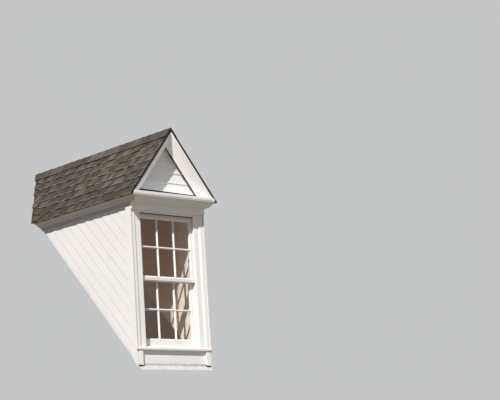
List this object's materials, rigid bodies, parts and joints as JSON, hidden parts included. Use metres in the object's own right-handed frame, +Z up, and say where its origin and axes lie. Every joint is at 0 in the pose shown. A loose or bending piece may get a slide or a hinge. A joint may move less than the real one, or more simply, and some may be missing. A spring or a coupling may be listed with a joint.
{
  "type": "dormer window",
  "caption": "Gabled timber dormer window with a closed pediment, a double-hung sash window, board-clad cheeks and a shingled roof, shaped to seat on a steep house roof.",
  "frame": {"origin": "middle of the sloped underside of the front sole plate, the face that seats on the deck of the house roof under the window", "axes": "+Z up, the window faces -Y and the house roof rises towards +Y at 46.5 degrees, +X to the right seen from outside in front of the window"},
  "size_m": [1.236, 2.7288, 2.7211],
  "materials": {
    "white_paint": "exterior wood painted white, a little weathered",
    "timber": "bare sawn timber",
    "lining": "framed wall, cream painted inside",
    "roof_boards": "roof boards over rafters, lined inside",
    "shingles": "brown-grey asphalt shingles with mineral granules",
    "edge_metal": "dark painted metal edging",
    "flashing": "sheet metal painted white",
    "window_glass": "clear window glass"
  },
  "bodies": {
    "root": {"front_sole_plate": "timber", "left_curb": "timber", "right_curb": "timber", "left_corner_post": "timber", "right_corner_post": "timber", "left_cheek_wall": "lining", "right_cheek_wall": "lining", "under_sill_wall": "lining", "window_header": "timber", "gable_wall": "lining", "left_roof_deck": "roof_boards", "right_roof_deck": "roof_boards", "left_shingles": "shingles", "right_shingles": "shingles", "ridge_cap": "shingles", "left_drip_edge": "edge_metal", "right_drip_edge": "edge_metal", "left_rake_crown": "white_paint", "right_rake_crown": "white_paint", "tympanum": "white_paint", "front_crown": "white_paint", "left_eave_crown": "white_paint", "right_eave_crown": "white_paint", "front_soffit": "white_paint", "cornice_cap": "white_paint", "front_frieze": "white_paint", "left_frieze": "white_paint", "right_frieze": "white_paint", "left_pilaster": "white_paint", "right_pilaster": "white_paint", "left_base_block": "white_paint", "right_base_block": "white_paint", "left_corner_board": "white_paint", "right_corner_board": "white_paint", "left_cheek_siding": "white_paint", "right_cheek_siding": "white_paint", "window_frame": "white_paint", "window_casing": "white_paint", "window_sill": "white_paint", "apron_panel": "white_paint", "apron_flashing": "flashing", "upper_sash": "white_paint", "lower_sash": "white_paint", "upper_glass": "window_glass", "lower_glass": "window_glass"}
  },
  "joints": []
}
